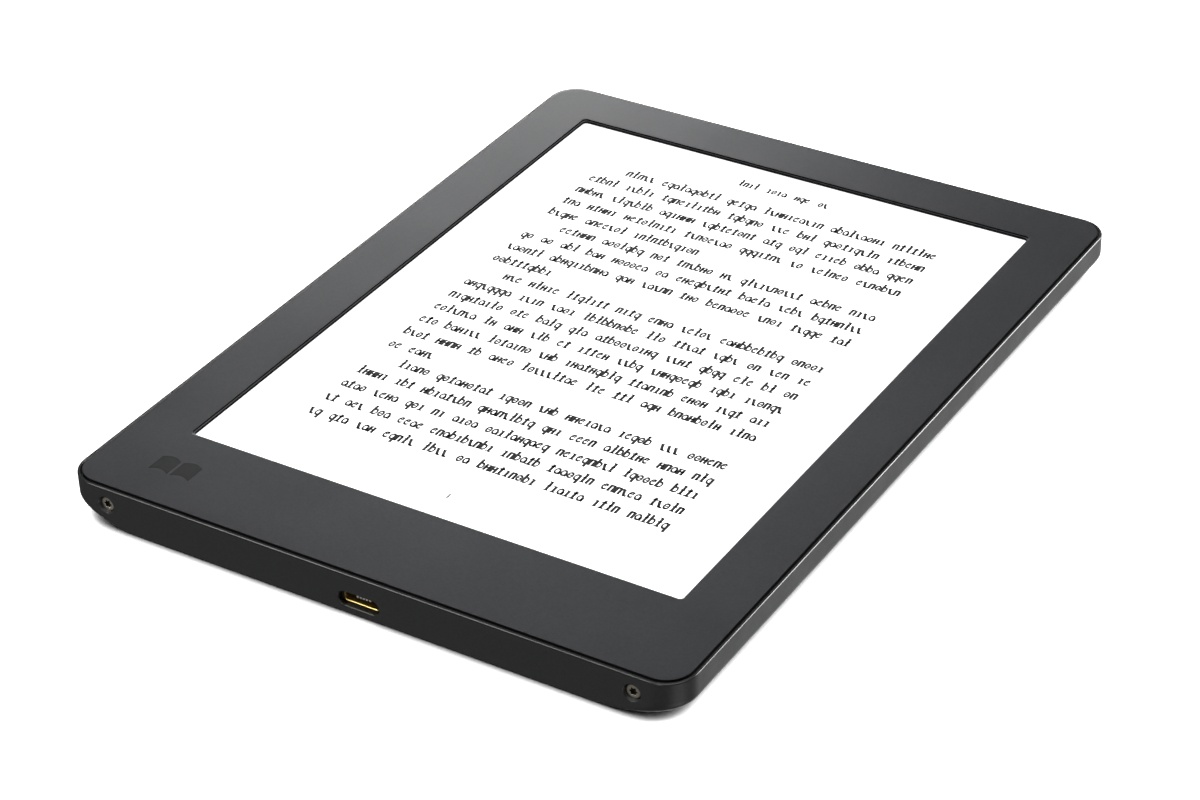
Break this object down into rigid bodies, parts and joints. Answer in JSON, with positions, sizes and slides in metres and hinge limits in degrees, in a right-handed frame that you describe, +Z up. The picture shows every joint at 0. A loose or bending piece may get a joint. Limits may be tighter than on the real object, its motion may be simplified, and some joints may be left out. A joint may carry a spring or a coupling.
{
  "type": "e-reader",
  "caption": "Thin slab e-reader: recessed display framed by a wide bezel, tub-shaped back with rolled sides, charging port and screws in one end, round power button on the back.",
  "frame": {"origin": "middle of the footprint, on the plane of the flat back the reader lies on", "axes": "+Z up out of the screen, +Y from the charging end to the far end of the page, +X to the reader's right"},
  "size_m": [0.129, 0.172, 0.0088],
  "materials": {
    "shell": "fine matt black moulding, a little lighter at grazing angles",
    "bezel": "soft-touch satin charcoal",
    "end_screw": "warm grey passivated steel",
    "inner_screw": "zinc plated",
    "foam": "thin black foam",
    "clear_film": "clear acrylic with an anti-glare face",
    "clear_glass": "clear thin glass",
    "page": "paper-white electronic ink film",
    "panel_glass": "thin-film transistor backplane glass",
    "silicon": "black moulded chip package",
    "flex": "amber polyimide over copper",
    "connector": "ivory moulded plastic",
    "frame_metal": "die-cast light alloy, matt",
    "circuit_board": "green solder mask",
    "tinned_steel": "tin-plated sheet",
    "port_gold": "gold-flashed steel sheet",
    "rubber": "soft black silicone",
    "pouch": "laminated foil pouch",
    "tape": "black adhesive film",
    "red_wire": "silicone insulation",
    "black_wire": "silicone insulation",
    "button": "satin blue",
    "boot": "milky silicone",
    "light_pipe": "clear polycarbonate"
  },
  "bodies": {
    "reader": {"rear_shell": "shell", "front_bezel": "bezel", "end_screw_left": "end_screw", "end_screw_right": "end_screw", "bezel_gasket": "foam", "cover_film": "clear_film", "touch_sensor": "clear_glass", "light_guide": "clear_film", "led_strip": "flex", "eink_film": "page", "eink_glass": "panel_glass", "display_driver_chip": "silicon", "display_flex": "flex", "touch_flex": "flex", "light_flex": "flex", "display_connector": "connector", "touch_connector": "connector", "light_connector": "connector", "mid_frame": "frame_metal", "frame_screw_1": "inner_screw", "frame_screw_2": "inner_screw", "frame_screw_3": "inner_screw", "frame_screw_4": "inner_screw", "main_board": "circuit_board", "board_screw_1": "inner_screw", "board_screw_2": "inner_screw", "board_screw_3": "inner_screw", "board_screw_4": "inner_screw", "shield_can": "tinned_steel", "processor": "silicon", "memory_chip": "silicon", "power_chip": "silicon", "power_inductor": "silicon", "wifi_module": "tinned_steel", "card_socket": "tinned_steel", "memory_card": "silicon", "clock_crystal": "tinned_steel", "hall_sensor": "silicon", "wifi_antenna": "flex", "antenna_cable": "black_wire", "usb_port_shell": "port_gold", "usb_port_tongue": "silicon", "usb_gasket": "rubber", "battery_cell": "pouch", "battery_circuit": "tape", "battery_tape": "tape", "battery_wire_red": "red_wire", "battery_wire_black": "black_wire", "battery_plug": "connector", "battery_socket": "connector", "button_boot": "boot", "power_switch": "tinned_steel", "button_board": "circuit_board", "button_connector": "connector", "button_socket": "connector", "button_flex": "flex", "status_light_pipe": "light_pipe", "status_led": "connector"},
    "power_button": {"power_button": "button"},
    "switch_plunger": {"switch_plunger": "silicon"}
  },
  "joints": [
    {"name": "power_button_press", "type": "slide", "parent": "reader", "child": "power_button", "axis": [0, 0, 1], "range_m": [0, 0.0003], "stiffness_N_per_m": 800, "springref_m": -0.002, "deforming": ["button_boot"]},
    {"name": "switch_plunger_press", "type": "slide", "parent": "reader", "child": "switch_plunger", "axis": [0, 0, 1], "range_m": [0, 0.0003]}
  ],
  "couplings": [
    {"joint": "switch_plunger_press", "follows": "power_button_press", "ratio": 1}
  ]
}
